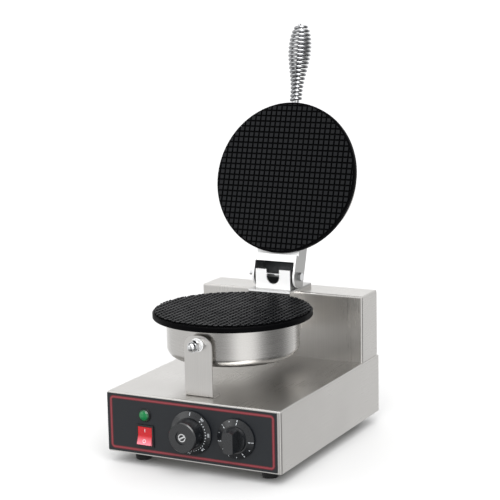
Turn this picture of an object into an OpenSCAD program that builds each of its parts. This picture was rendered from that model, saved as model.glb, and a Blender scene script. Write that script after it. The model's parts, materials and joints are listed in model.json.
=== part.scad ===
// Waffle cone maker for a counter: one round plate, with its lid standing open.
// X is to the right, Y to the rear and Z up. The feet stand on z = 0.

/* [Base box] */
// Width of the base box
base_w = 238; // [230:1:250]
// Depth of the base box, front to rear
base_d = 295; // [290:1:310]
// Height of the base box
base_h = 76; // [72:1:84]
// Y of the base box's middle: the open machine is then centred on the origin
base_y = -8.5; // [-12:0.5:0]
// Thickness of the stainless sheet
sheet_t = 1.2; // [1:0.1:1.5]
// Outside radius of the sheet's bends
bend_r = 2.5; // [2:0.5:4]
// Height of the rubber feet
foot_h = 14.5; // [12:0.5:18]
// Radius of the rubber feet at the top
foot_r = 11; // [10:0.5:13]
// Distance from the middle of the base to the feet, across
foot_x = 88; // [80:1:95]
// Distance from the middle of the base to the feet, front to rear
foot_y = 115.5; // [110:0.5:120]

/* [Tower] */
// Width of the box at the rear
tower_w = 234; // [226:1:236]
// Depth of the box at the rear, with its cover
tower_d = 51; // [45:1:60]
// Height of the box at the rear
tower_h = 87.5; // [85:0.5:95]

/* [Plates] */
// Radius of the round waffle plates
plate_r = 100; // [95:1:105]
// Thickness of the waffle plates, with their studs
plate_t = 9; // [8:0.5:12]
// Distance from one stud of the waffle grid to the next
stud_pitch = 7.33; // [6:0.01:9]
// Width of the grooves between the studs
groove_w = 2.3; // [1.8:0.1:3]
// Depth of the grooves
groove_depth = 2.2; // [1:0.1:2.6]
// How far the plates' centre lies in front of the base's middle
plate_forward = 37.5; // [34:0.5:40]
// Height of the lower waffle face over the top of the tower
face_rise = 3.7; // [3.6:0.1:4.5]
// Gap between the two faces when the lid is closed
plate_gap = 1; // [0.5:0.5:3]
// Radius of the stainless pan behind a plate
pan_r = 83; // [80:1:85]
// Depth of the pan
pan_h = 48.2; // [44:0.1:50]
// Radius of the pan's rounded edge
pan_corner = 12; // [8:1:16]
// Wall of the pan
pan_t = 1; // [0.8:0.1:1.5]

/* [Hinge] */
// Distance from the plates' centre back to the hinge axis
hinge_back = 128; // [127:0.5:130]
// Height of the hinge axis over the closed upper waffle face
hinge_up = 16.8; // [16:0.1:18]
// Angle that the lid stands open
open_angle = 107.4; // [100:0.1:110]
// Radius of the hinge bolt
pin_r = 3; // [2.5:0.25:4]
// Thickness of the hinge's steel
hinge_t = 2.5; // [2:0.5:3]
// Half the width of the lid's bracket, over its arms
arm_x = 30.5; // [30:0.5:32]
// Half the depth of the arms, and the radius of their round ends
arm_r = 14.8; // [14:0.1:15]

/* [Handle] */
// Distance from the plates' centre to the start of the coil
coil_start = 102; // [101:1:104]
// Length of the coil along the handle
coil_len = 104; // [90:1:120]
// Number of turns in the coil
coil_turns = 19; // [15:1:22]
// Radius of the coil's wire
wire_r = 1.45; // [1.2:0.05:1.6]
// Radius of the coil's middle line at its neck
coil_neck_r = 6; // [5.9:0.1:7]
// Radius of the coil's middle line at its widest
coil_belly_r = 13.4; // [11:0.1:15]
// Radius of the rod inside the coil
rod_r = 3.5; // [3:0.25:4]
// Slope of the handle down to its tip, with the lid closed
handle_slope = 5; // [3:0.5:7]

/* [Controls] */
// Radius of the thermostat dial's skirt
thermostat_skirt_r = 27.2; // [25:0.1:28]
// Radius of the timer dial's skirt
timer_skirt_r = 24.5; // [23:0.1:26]
// Height of both dials' axes over the foot of the front panel
dial_up = 35.8; // [33:0.1:38]
// X of the thermostat dial
thermostat_x = 0.5; // [-2:0.5:2]
// X of the timer dial
timer_x = 61; // [58:0.5:62]
// X of the pilot lamp and the switch
lamp_x = -64.5; // [-70:0.5:-60]
// Height of the lamp over the foot of the front panel
lamp_up = 49.7; // [47:0.1:53]
// Height of the switch over the foot of the front panel
switch_up = 23.5; // [20:0.1:26]
// Tilt of the rocker from its middle to either end
rocker_tilt = 10; // [8:1:12]

/* [Hidden] */
$fn = 64;
fit_gap = 0.05;                                 // clearance of a turning fit, on the radius
hole_gap = 0.15;                                // clearance of a screw hole, on the radius
play = 0.2;                                     // gap beside a piece that turns

steel = [0.78, 0.78, 0.77];
bright_steel = [0.86, 0.86, 0.86];
zinc = [0.66, 0.66, 0.64];
black_plastic = [0.11, 0.11, 0.12];
plate_black = [0.09, 0.09, 0.1];

cover_t = 1;                                    // sheet of the two covers
base_bottom_z = foot_h + cover_t;
base_top_z = base_bottom_z + base_h;
base_front_y = base_y - base_d / 2;
base_rear_y = base_y + base_d / 2;
tower_top_z = base_top_z + tower_h;
tower_front_y = base_rear_y - tower_d;
tower_box_d = tower_d - cover_t;
tower_mid_y = tower_front_y + tower_box_d / 2;
lip_w = 14;                                     // sheet turned in under the base
seam_w = 0.5;                                   // joint of the sides with the front, at the corners
seam_depth = 0.6;
gusset = 48;                                    // corner of that lip, over a foot
tower_lip = 10;                                 // sheet turned in round the tower's openings

plate_y = base_y - plate_forward;
face_z = tower_top_z + face_rise;
studs_r = plate_r - 2.5;                        // the studs end short of the plate's rim
heater_r = 58;                                  // middle line of the ring heater
heater_tube_r = 4;
heater_gap = 20;                                // half the angle left open between its ends
clamp_t = 1.5;
clamp_r = 72;
insulation_t = 20;
insulation_r = 76;
clamp_depth = plate_t + 2 * heater_tube_r;      // depths are counted from the waffle face
insulation_depth = clamp_depth + clamp_t;
probe_x = 10;                                   // where the thermostat's tube passes the discs
probe_up = 25;                                  // and how far behind the plates' centre
probe_hole_r = 3;
bulb_r = 3;
bulb_l = 50;
bolt_r = 4;                                     // M8
bolt_end_depth = plate_t - 3;
boss_r = 6.5;                                   // boss on the upper plate's back, for the handle's rod
bevel = 0.8;                                    // at the plates' two edges

hinge_y = plate_y + hinge_back;
hinge_z = face_z + plate_gap + hinge_up;
bracket_floor = -arm_r - 0.7;                   // top of the bracket's foot, below the axis
ear_x = 25;                                     // outer face of the fixed ears
bracket_front = -15.2;                          // face of the fixed bracket, from the axis
bracket_top = 10;
bracket_x = 30;
notch_r = 9.25;
ear_r = 10;
bridge_t = 3.5;
bridge_z = hinge_z + bracket_floor - hinge_t;   // top of the bridge, under the bracket's foot
bridge_wall = 3;
bridge_low_z = 130;
bridge_front_drop = 12;                         // the walls pass this far below the waffle face
bridge_rear_y = hinge_y + 38;
bridge_screw_x = 15;
bridge_screw_z = 155;
tower_hole_z = 142;                             // hole that the thermostat's tube goes through
tower_hole_r = 7;
probe_run_z = tower_hole_z - 2;                 // the tube runs to the rear below the insulation
stud_z = face_z - 26.7;                         // axis of the studs that hold the lower pan
plate_back = hinge_up - plate_t;                // back of the closed upper plate, below the axis
joggle_y = -hinge_back + plate_r + 2.2;         // bend of the lid's bracket round the plate's rim
web_end = -16.6;                                // edge of the lid's bracket next to the axis
// The arms' heels meet the bracket's foot at open_angle, which is the lid's stop.
heel = (-bracket_floor - play / 2 + arm_r * cos(open_angle)) / sin(open_angle);
heel_turn = 2 * atan2(arm_r, heel) - 90;        // where the heel's end face leaves the round end

strap_w = 37.5;
strap_t = 2;
strap_face_y = base_y - 128;
strap_top_z = stud_z + 11;
strap_corner = 14;
strap_foot = 17.5;                              // length of the foot, to the rear
strap_screw_x = 10;
strap_screw_y = strap_face_y + 10;

panel_gap_z = 1.5;                              // foot of the front panel over the base's underside
panel_t = 1;
panel_h = 72.5;
panel_left = -118;
panel_right = 114;
panel_z = base_bottom_z + panel_gap_z;
panel_y = base_front_y - panel_t;               // face of the front panel
dial_z = panel_z + dial_up;
lamp_z = panel_z + lamp_up;
switch_z = panel_z + switch_up;
shaft_r = 3;
bush_r = 5;
control_screw_x = 14;
switch_w = 24;
switch_h = 28;
rocker_w = 19.4;
rocker_r = 11.7;
rocker_pin_r = 1.5;
rocker_axis_y = panel_y + 1;
inlet_x = -80;
inlet_z = base_bottom_z + 30;
gland_r = 8;
cable_r = 4.5;

// ---- shapes that repeat ----

// A rectangle on the origin with round corners.
module rounded_rect(w, h, r) {
    square([w - 2 * r, h], center = true);
    square([w, h - 2 * r], center = true);
    for (x = [-1, 1], y = [-1, 1])
        translate([x * (w / 2 - r), y * (h / 2 - r)]) circle(r);
}

// A box of bent sheet: its upright and upper edges are round. It stands on z = 0.
module bent_box(w, d, h, r) {
    intersection() {
        linear_extrude(h) rounded_rect(w, d, r);
        rotate([90, 0, 0]) translate([0, 0, -d]) linear_extrude(2 * d) rounded_rect(w, 2 * h, r);
        rotate([90, 0, 90]) translate([0, 0, -w]) linear_extrude(2 * w) rounded_rect(d, 2 * h, r);
    }
}

// A cylinder along Y, from y to the rear.
module rod_y(r, length, y, x = 0, z = 0) {
    translate([x, y, z]) rotate([-90, 0, 0]) cylinder(h = length, r = r);
}

// A cylinder along X, from x to the right.
module rod_x(r, length, x, y = 0, z = 0) {
    translate([x, y, z]) rotate([0, 90, 0]) cylinder(h = length, r = r);
}

// A profile drawn in Y and Z, made length long from x to the right.
module side_extrude(x, length) {
    translate([x, 0, 0]) rotate([90, 0, 90]) linear_extrude(length) children();
}

// Moves what is drawn round the hinge axis of a closed lid to the lid as it stands open.
module open_lid() {
    translate([0, hinge_y, hinge_z]) rotate([-open_angle, 0, 0]) children();
}

// Lays what is drawn under a waffle face on the upper plate, face down over the lower one.
module upper_side() {
    open_lid() translate([0, -hinge_back, -hinge_up]) rotate([0, 180, 0]) children();
}

module lower_side() {
    translate([0, plate_y, face_z]) children();
}

// A screw along Z, its head's underside on z = 0 and its shank upwards.
module screw(shank_r, head_r, head_h, length) {
    cylinder(h = length, r = shank_r);
    translate([0, 0, -head_h]) cylinder(h = head_h, r = head_r);
}

module at_corners(x, y) {
    for (i = [-1, 1], j = [-1, 1]) translate([i * x, j * y, 0]) children();
}

function unit(v) = v / norm(v);

// A round tube along a path. No stretch of the path runs along the fixed direction, which keeps it from twisting.
module tube(path, r, sides, fixed) {
    last = len(path) - 1;
    function along(i) = unit(path[min(i + 1, last)] - path[max(i - 1, 0)]);
    function ring(i) = let (across = unit(cross(along(i), fixed)), other = cross(across, along(i)))
        [for (k = [0:sides - 1]) path[i] + r * (cos(360 * k / sides) * across + sin(360 * k / sides) * other)];
    polyhedron(
        points = [for (i = [0:last]) each ring(i)],
        faces = concat(
            [[for (k = [sides - 1:-1:0]) k], [for (k = [0:sides - 1]) last * sides + k]],
            [for (i = [0:last - 1], k = [0:sides - 1]) [
                i * sides + k, i * sides + (k + 1) % sides,
                (i + 1) * sides + (k + 1) % sides, (i + 1) * sides + k
            ]]
        )
    );
}

// ---- base ----

module base_shell() color(steel) difference() {
    translate([0, base_y, base_bottom_z]) bent_box(base_w, base_d, base_h, bend_r);
    translate([0, base_y, base_bottom_z + sheet_t])
        bent_box(base_w - 2 * sheet_t, base_d - 2 * sheet_t, base_h - 2 * sheet_t, bend_r - sheet_t);
    translate([0, base_y, base_bottom_z - 1]) linear_extrude(sheet_t + 2) difference() {
        square([base_w - 2 * lip_w, base_d - 2 * lip_w], center = true);
        for (i = [-1, 1], j = [-1, 1])
            translate([i * base_w / 2, j * base_d / 2]) square(2 * gusset, center = true);
    }
    translate([0, base_y, base_bottom_z - 1]) {
        at_corners(foot_x, foot_y) cylinder(h = sheet_t + 2, r = 2 + hole_gap);
        at_corners(base_w / 2 - lip_w / 2 - 1, 30) cylinder(h = sheet_t + 2, r = 1.5 + hole_gap);
    }
    rod_y(6.2, 4 * sheet_t, base_front_y - sheet_t, lamp_x, lamp_z);
    translate([lamp_x - 11.1, base_front_y - 1, switch_z - 13.1]) cube([22.2, sheet_t + 2, 26.2]);
    for (x = [thermostat_x, timer_x]) {
        rod_y(bush_r + hole_gap, sheet_t + 2, base_front_y - 1, x, dial_z);
        for (i = [-1, 1])
            rod_y(2 + hole_gap, sheet_t + 2, base_front_y - 1, x + i * control_screw_x, dial_z);
    }
    translate([0, 0, base_top_z - sheet_t - 1]) {
        for (i = [-1, 1])
            translate([i * strap_screw_x, strap_screw_y, 0]) cylinder(h = sheet_t + 2, r = 2.5 + hole_gap);
        translate([0, tower_mid_y, 0]) cylinder(h = sheet_t + 2, r = 14);
        translate([0, tower_mid_y, 0]) at_corners(tower_w / 2 - 25, tower_box_d / 2 - 6)
            cylinder(h = sheet_t + 2, r = 2 + hole_gap);
    }
    rod_y(gland_r, sheet_t + 2, base_rear_y - sheet_t - 1, inlet_x, inlet_z);
    for (i = [-1, 1])
        translate([i * base_w / 2, base_front_y + bend_r + 0.5, base_bottom_z + (base_h - bend_r) / 2])
            cube([2 * seam_depth, seam_w, base_h - bend_r], center = true);
}

// The black panel on the front, with the holes that the controls come through.
module control_fascia() color(black_plastic) difference() {
    translate([(panel_left + panel_right) / 2, base_front_y, panel_z + panel_h / 2])
        rotate([90, 0, 0]) linear_extrude(panel_t) square([panel_right - panel_left, panel_h], center = true);
    rod_y(6.2, panel_t + 2, panel_y - 1, lamp_x, lamp_z);
    translate([lamp_x - 11.1, panel_y - 1, switch_z - 13.1]) cube([22.2, panel_t + 2, 26.2]);
    for (x = [thermostat_x, timer_x]) {
        rod_y(bush_r + hole_gap, panel_t + 2, panel_y - 1, x, dial_z);
        for (i = [-1, 1]) rod_y(2 + hole_gap, panel_t + 2, panel_y - 1, x + i * control_screw_x, dial_z);
    }
}

module bottom_cover() color(zinc) difference() {
    translate([0, base_y, foot_h]) linear_extrude(cover_t) rounded_rect(base_w - 6, base_d - 6, 4);
    translate([0, base_y, foot_h - 1]) {
        at_corners(foot_x, foot_y) cylinder(h = cover_t + 2, r = 2 + hole_gap);
        at_corners(base_w / 2 - lip_w / 2 - 1, 30) cylinder(h = cover_t + 2, r = 1.5 + hole_gap);
        for (x = [-40, 40], i = [-3:3]) translate([x, 12 * i, 0]) linear_extrude(cover_t + 2) {
            square([40, 4], center = true);
            for (e = [-20, 20]) translate([e, 0]) circle(2);
        }
    }
}

// A rubber foot, hollow below for its screw's head.
module foot(x, y) color([0.07, 0.07, 0.07]) translate([x, base_y + y, 0]) difference() {
    union() {
        cylinder(h = foot_h - 5, r1 = foot_r - 1.2, r2 = foot_r);
        translate([0, 0, foot_h - 5]) cylinder(h = 5, r = foot_r);
    }
    translate([0, 0, -1]) cylinder(h = 8, r = 5);
    cylinder(h = foot_h + 1, r = 2);
}
module foot_front_left() foot(-foot_x, -foot_y);
module foot_front_right() foot(foot_x, -foot_y);
module foot_rear_left() foot(-foot_x, foot_y);
module foot_rear_right() foot(foot_x, foot_y);

module foot_screws() color(zinc) translate([0, base_y, 7]) at_corners(foot_x, foot_y)
    screw(2, 4, 2.2, base_bottom_z + sheet_t + 4 - 7);

module foot_nuts() color(zinc) translate([0, base_y, base_bottom_z + sheet_t]) at_corners(foot_x, foot_y)
    difference() {
        cylinder(h = 3.2, r = 4, $fn = 6);
        translate([0, 0, -1]) cylinder(h = 6, r = 2);
    }

// ---- tower ----

module tower_shell() color(steel) difference() {
    translate([0, tower_mid_y, base_top_z]) bent_box(tower_w, tower_box_d, tower_h, bend_r);
    translate([0, tower_mid_y, base_top_z + sheet_t])
        bent_box(tower_w - 2 * sheet_t, tower_box_d - 2 * sheet_t, tower_h - 2 * sheet_t, bend_r - sheet_t);
    translate([-tower_w / 2 + tower_lip, tower_mid_y, base_top_z + tower_lip])
        cube([tower_w - 2 * tower_lip, tower_box_d, tower_h - 2 * tower_lip]);
    translate([-tower_w / 2 + tower_lip, tower_front_y + tower_lip, base_top_z - 1])
        cube([tower_w - 2 * tower_lip, tower_box_d - 2 * tower_lip, sheet_t + 2]);
    translate([0, tower_mid_y, base_top_z - 1]) at_corners(tower_w / 2 - 25, tower_box_d / 2 - 6)
        cylinder(h = sheet_t + 2, r = 2 + hole_gap);
    for (x = [-1, 1], z = [1, -1])
        rod_y(1.5 + hole_gap, sheet_t + 2, base_rear_y - cover_t - sheet_t - 1, x * (tower_w / 2 - 6),
              base_top_z + tower_h / 2 + z * (tower_h / 2 - 6));
    rod_y(tower_hole_r, sheet_t + 2, tower_front_y - 1, 0, tower_hole_z);
    for (i = [-1, 1]) rod_y(2.5 + hole_gap, sheet_t + 2, tower_front_y - 1, i * bridge_screw_x, bridge_screw_z);
}

module tower_screws() color(zinc) translate([0, tower_mid_y, base_top_z - sheet_t])
    at_corners(tower_w / 2 - 25, tower_box_d / 2 - 6) screw(2, 4, 2.4, 6);

module tower_back_cover() color(steel) difference() {
    translate([0, base_rear_y, base_top_z + tower_h / 2]) rotate([90, 0, 0])
        linear_extrude(cover_t) rounded_rect(tower_w - 2, tower_h - 2, 3);
    for (x = [-1, 1], z = [1, -1])
        rod_y(1.5 + hole_gap, cover_t + 2, base_rear_y - cover_t - 1, x * (tower_w / 2 - 6),
              base_top_z + tower_h / 2 + z * (tower_h / 2 - 6));
    for (x = [-60, 60], i = [-3:3])
        translate([x, base_rear_y - cover_t - 1, base_top_z + tower_h / 2 + 8 * i]) rotate([-90, 0, 0])
            linear_extrude(cover_t + 2) {
                square([46, 3], center = true);
                for (e = [-23, 23]) translate([e, 0]) circle(1.5);
            }
}

// The eight like screws of the bottom and the back cover.
module cover_screws() color(zinc) {
    translate([0, base_y, foot_h]) at_corners(base_w / 2 - lip_w / 2 - 1, 30) screw(1.5, 3, 1.6, 6);
    translate([0, base_rear_y, base_top_z + tower_h / 2]) rotate([90, 0, 0])
        at_corners(tower_w / 2 - 6, tower_h / 2 - 6) screw(1.5, 3, 1.6, 6);
}

// ---- what holds the lower pan ----

// A flat strap with round upper corners, bent to the rear at its foot.
module front_strap() color(bright_steel) difference() {
    union() {
        translate([0, strap_face_y + strap_t, 0]) rotate([90, 0, 0]) linear_extrude(strap_t) {
            translate([-strap_w / 2, base_top_z + 3]) square([strap_w, strap_top_z - strap_corner - base_top_z - 3]);
            translate([-strap_w / 2 + strap_corner, base_top_z + 3])
                square([strap_w - 2 * strap_corner, strap_top_z - base_top_z - 3]);
            for (i = [-1, 1])
                translate([i * (strap_w / 2 - strap_corner), strap_top_z - strap_corner]) circle(strap_corner);
        }
        side_extrude(-strap_w / 2, strap_w) {
            translate([strap_face_y + 3, base_top_z]) square([strap_foot - 3, strap_t]);
            translate([strap_face_y + 3, base_top_z + 3]) intersection() {
                difference() {
                    circle(3);
                    circle(3 - strap_t);
                }
                translate([-3, -3]) square(3);
            }
        }
    }
    rod_y(bolt_r + hole_gap, strap_t + 2, strap_face_y - 1, 0, stud_z);
    for (i = [-1, 1])
        translate([i * strap_screw_x, strap_screw_y, base_top_z - 1]) cylinder(h = strap_t + 2, r = 2.5);
}

module strap_screws() color(zinc)
    for (i = [-1, 1]) translate([i * strap_screw_x, strap_screw_y, base_top_z - sheet_t])
        screw(2.5, 4.5, 2.8, sheet_t + strap_t);

module front_stud() color(zinc) {
    rod_y(bolt_r, plate_y - pan_r + pan_t - strap_face_y + 16, strap_face_y - 15, 0, stud_z);
    intersection() {
        rod_y(8, 10, plate_y - pan_r, 0, stud_z);
        translate([0, plate_y, stud_z - 10]) cylinder(h = 20, r = pan_r - pan_t);
        rod_y(9, pan_t + 3, plate_y - pan_r, 0, stud_z);
    }
}

module stud_spacer() color(zinc) difference() {
    rod_y(7, plate_y - pan_r + 4 - strap_face_y - strap_t, strap_face_y + strap_t, 0, stud_z);
    rod_y(bolt_r, 30, strap_face_y, 0, stud_z);
    translate([0, plate_y, stud_z - 10]) cylinder(h = 20, r = pan_r);
}

module stud_washer() color(bright_steel) difference() {
    rod_y(8.5, 1.6, strap_face_y - 1.6, 0, stud_z);
    rod_y(bolt_r, 4, strap_face_y - 3, 0, stud_z);
}

module stud_nut() color(bright_steel) difference() {
    translate([0, strap_face_y - 1.6, stud_z]) rotate([90, 0, 0]) intersection() {
        cylinder(h = 6.4, r = 7.5, $fn = 6);
        union() {
            cylinder(h = 5.2, r = 9);
            translate([0, 0, 5.2]) cylinder(h = 1.2, r1 = 7.5, r2 = 6.3);
        }
    }
    rod_y(bolt_r, 20, strap_face_y - 15, 0, stud_z);
}

module stud_cap_nut() color(bright_steel) difference() {
    translate([0, strap_face_y - 8, stud_z]) rotate([90, 30, 0]) {
        cylinder(h = 4.5, r = 7.5, $fn = 6);
        translate([0, 0, 4.5]) cylinder(h = 1.2, r = 6.2);
        translate([0, 0, 5.7]) intersection() {
            sphere(5.9);
            cylinder(h = 7, r = 7);
        }
    }
    rod_y(bolt_r, 7, strap_face_y - 15, 0, stud_z);
}

module rear_stud() color(zinc) {
    rod_y(bolt_r, 19, plate_y + pan_r - pan_t - 1, 0, stud_z);
    intersection() {
        rod_y(8, 10, plate_y + pan_r - 10, 0, stud_z);
        translate([0, plate_y, stud_z - 10]) cylinder(h = 20, r = pan_r - pan_t);
        rod_y(9, 3, plate_y + pan_r - 3 - pan_t, 0, stud_z);
    }
}

module rear_stud_nut() color(zinc) difference() {
    translate([0, plate_y + pan_r + 5 + 6.4, stud_z]) rotate([90, 0, 0]) cylinder(h = 6.4, r = 7.5, $fn = 6);
    rod_y(bolt_r, 20, plate_y + pan_r, 0, stud_z);
}

// A channel from the rear of the pan to the tower, and over the tower's top.
module hinge_bridge() color(steel) difference() {
    union() {
        translate([-bracket_x, plate_y + plate_r + 1, bridge_z - bridge_t])
            cube([2 * bracket_x, bridge_rear_y - plate_y - plate_r - 1, bridge_t]);
        for (x = [-bracket_x, bracket_x - bridge_wall]) side_extrude(x, bridge_wall) polygon([
            [plate_y + 60, bridge_low_z + 14], [plate_y + 74, bridge_low_z],
            [tower_front_y, bridge_low_z], [tower_front_y, bridge_z],
            [plate_y + plate_r + 1, bridge_z], [plate_y + plate_r + 1, face_z - bridge_front_drop],
            [plate_y + 60, face_z - bridge_front_drop]
        ]);
        translate([-bracket_x, plate_y + 60, bridge_low_z + 14])
            cube([2 * bracket_x, pan_r + 5 - 60, face_z - bridge_front_drop - bridge_low_z - 14]);
        translate([-bracket_x, tower_front_y - bridge_wall, bridge_low_z])
            cube([2 * bracket_x, bridge_wall, bridge_z - bridge_low_z]);
    }
    translate([0, plate_y, bridge_low_z - 1]) cylinder(h = 60, r = pan_r);
    rod_y(bolt_r + hole_gap, 20, plate_y + pan_r - 3, 0, stud_z);
    rod_y(tower_hole_r, bridge_wall + 2, tower_front_y - bridge_wall - 1, 0, tower_hole_z);
    for (i = [-1, 1])
        rod_y(2.5 + hole_gap, bridge_wall + 2, tower_front_y - bridge_wall - 1, i * bridge_screw_x, bridge_screw_z);
    bracket_screw_places() translate([0, 0, -10]) cylinder(h = 20, r = 2.5);
}

// ---- hinge ----

// The four screws of the bracket's foot, on its upper face.
module bracket_screw_places() {
    for (x = [-15, 15], y = [18, 32]) translate([x, hinge_y + y, hinge_z + bracket_floor]) children();
}

// The fixed half: a foot, a notched front plate and two ears round the hinge bolt.
module hinge_bracket() color(bright_steel) difference() {
    translate([0, hinge_y, hinge_z]) {
        translate([-bracket_x, -hinge_back + plate_r + 1, bracket_floor - hinge_t])
            cube([2 * bracket_x, hinge_back - plate_r + 37, hinge_t]);
        translate([0, bracket_front + hinge_t, 0]) rotate([90, 0, 0]) linear_extrude(hinge_t) difference() {
            translate([-ear_x, bracket_floor]) square([2 * ear_x, bracket_top - bracket_floor]);
            circle(notch_r);
            translate([-notch_r, 0]) square([2 * notch_r, bracket_top + 1]);
        }
        for (x = [-ear_x, ear_x - hinge_t]) side_extrude(x, hinge_t) {
            translate([bracket_front, bracket_floor]) square([ear_r - bracket_front, -bracket_floor]);
            circle(ear_r);
            translate([bracket_front, 0]) square([-bracket_front, bracket_top]);
        }
    }
    rod_x(pin_r, 80, -40, hinge_y, hinge_z);
    bracket_screw_places() translate([0, 0, -10]) cylinder(h = 20, r = 2.5 + hole_gap);
}

// The like screws that hold the bracket on the bridge, and the bridge on the tower.
module bracket_screws() color(zinc) {
    bracket_screw_places() rotate([180, 0, 0]) screw(2.5, 4.5, 2.8, 6);
    for (i = [-1, 1]) translate([i * bridge_screw_x, tower_front_y - bridge_wall, bridge_screw_z])
        rotate([-90, 0, 0]) screw(2.5, 4.5, 2.8, 6);
}

module hinge_bolt() color(bright_steel) {
    rod_x(pin_r, arm_x + play + 40.6, -40.6, hinge_y, hinge_z);
    translate([arm_x + play, hinge_y, hinge_z]) rotate([0, 90, 0]) cylinder(h = 4, r = 5.6, $fn = 6);
}

module hinge_nut() color(bright_steel) difference() {
    translate([-arm_x - play - 5, hinge_y, hinge_z]) rotate([0, 90, 0]) cylinder(h = 5, r = 5.6, $fn = 6);
    rod_x(pin_r, 20, -arm_x - 15, hinge_y, hinge_z);
}

module hinge_spacers() color(zinc) {
    gap = arm_x - hinge_t - ear_x - play;
    for (x = [-ear_x - gap, ear_x]) difference() {
        rod_x(6, gap, x, hinge_y, hinge_z);
        rod_x(pin_r, gap + 2, x - 1, hinge_y, hinge_z);
    }
}

// The moving half: two arms with round ends and heels, and a web that steps over the plate's rim.
module lid_bracket() color(bright_steel) open_lid() difference() {
    union() {
        for (x = [-arm_x, arm_x - hinge_t]) side_extrude(x, hinge_t) {
            circle(arm_r);
            polygon([
                [0, 0], [0, arm_r], [heel, arm_r], [arm_r * cos(heel_turn), arm_r * sin(heel_turn)]
            ]);
            translate([joggle_y, -arm_r]) square([-joggle_y, 2 * arm_r]);
            translate([-hinge_back + 60, -plate_back]) square([hinge_back - 60, plate_back + arm_r]);
        }
        side_extrude(-arm_x, 2 * arm_x) {
            translate([joggle_y, -arm_r]) square([web_end - joggle_y, hinge_t]);
            translate([joggle_y, -arm_r]) square([hinge_t, arm_r - plate_back + hinge_t]);
            translate([-hinge_back + 60, -plate_back]) square([hinge_back - 60 + joggle_y + hinge_t, hinge_t]);
        }
    }
    translate([0, -hinge_back, -hinge_up]) cylinder(h = 80, r = pan_r);
    rod_x(pin_r + fit_gap, 80, -40);
    lid_screw_places() translate([0, 0, -10]) cylinder(h = 20, r = 2.5 + hole_gap);
}

// The two screws of the lid's bracket, on the back of its tongue. Drawn round the hinge axis, lid closed.
module lid_screw_places() {
    for (x = [-17, 17]) translate([x, joggle_y - 9, hinge_t - plate_back]) children();
}

module lid_bracket_screws() color(zinc) open_lid() lid_screw_places() rotate([180, 0, 0])
    screw(2.5, 4.5, 2.8, hinge_t + 4);

// ---- plates and what is behind them, drawn under a waffle face on z = 0 ----

// The square studs of a waffle face, cut round at its rim.
module waffle_studs() {
    rows = ceil(studs_r / stud_pitch);
    intersection() {
        circle(studs_r);
        for (i = [-rows:rows - 1], j = [-rows:rows - 1])
            translate([(i + 0.5) * stud_pitch, (j + 0.5) * stud_pitch])
                square(stud_pitch - groove_w, center = true);
    }
}

// A cast plate: a disc with bevelled edges, and the studs that stand on it.
module plate_casting() difference() {
    union() {
        translate([0, 0, -plate_t]) cylinder(h = bevel, r1 = plate_r - bevel, r2 = plate_r);
        translate([0, 0, bevel - plate_t]) cylinder(h = plate_t - groove_depth - 2 * bevel, r = plate_r);
        translate([0, 0, -groove_depth - bevel]) cylinder(h = bevel, r1 = plate_r, r2 = plate_r - bevel);
        translate([0, 0, -groove_depth - 0.5]) linear_extrude(groove_depth + 0.5) waffle_studs();
    }
    translate([0, 0, -plate_t - 1]) cylinder(h = plate_t + 1 - bolt_end_depth, r = bolt_r);
}

// A pan's half section: a cup with a round lower edge, filled to the waffle face.
module pan_section(r, depth, corner) {
    translate([0, corner - depth]) square([r, depth - corner]);
    translate([0, -depth]) square([r - corner, corner]);
    translate([r - corner, corner - depth]) circle(corner);
}

module pan_cup() difference() {
    rotate_extrude() difference() {
        pan_section(pan_r, plate_t + pan_h, pan_corner);
        pan_section(pan_r - pan_t, plate_t + pan_h - pan_t, pan_corner - pan_t);
        translate([0, -plate_t]) square([pan_r + 1, plate_t + 1]);
    }
    translate([0, 0, -plate_t - pan_h - 1]) cylinder(h = pan_t + 2, r = bolt_r + hole_gap);
}

// A tube heater bent to an open ring, with its two ends turned away from the plate.
module ring_heater() translate([0, 0, -plate_t - heater_tube_r]) {
    rotate([0, 0, 90 + heater_gap]) rotate_extrude(angle = 360 - 2 * heater_gap)
        translate([heater_r, 0]) circle(heater_tube_r);
    for (i = [-1, 1]) rotate([0, 0, 90 + i * heater_gap]) translate([heater_r, 0, -26]) {
        cylinder(h = 26, r = heater_tube_r);
        translate([0, 0, 26]) sphere(heater_tube_r);
        translate([0, 0, -6]) cylinder(h = 6, r = 1.5);
    }
}

// The places where the heater's ends pass the clamp plate and the insulation.
module heater_ends(depth, length) {
    for (i = [-1, 1]) rotate([0, 0, 90 + i * heater_gap])
        translate([heater_r, 0, -depth - 1]) cylinder(h = length + 2, r = heater_tube_r + 0.5);
}

// The hole for the thermostat's tube, in a disc whose underside is at that depth.
module probe_hole(depth, length) translate([probe_x, probe_up, -depth - 1])
    cylinder(h = length + 2, r = probe_hole_r);

module clamp_disc() difference() {
    translate([0, 0, -clamp_depth - clamp_t]) cylinder(h = clamp_t, r = clamp_r);
    heater_ends(clamp_depth + clamp_t, clamp_t);
    translate([0, 0, -clamp_depth - clamp_t - 1]) cylinder(h = clamp_t + 2, r = bolt_r);
}

module insulation_disc() difference() {
    translate([0, 0, -insulation_depth - insulation_t]) cylinder(h = insulation_t, r = insulation_r);
    heater_ends(insulation_depth + insulation_t, insulation_t);
    translate([0, 0, -insulation_depth - insulation_t - 1]) cylinder(h = insulation_t + 2, r = bolt_r);
}

// The long bolt that holds pan, insulation and heater to the plate.
module centre_bolt() translate([0, 0, -plate_t - pan_h]) {
    cylinder(h = plate_t + pan_h - bolt_end_depth, r = bolt_r);
    translate([0, 0, -1.5]) cylinder(h = 1.5, r = 9);
    translate([0, 0, -7]) cylinder(h = 5.5, r = 7.5, $fn = 6);
}

module lower_plate() color(plate_black) lower_side() plate_casting();

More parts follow.
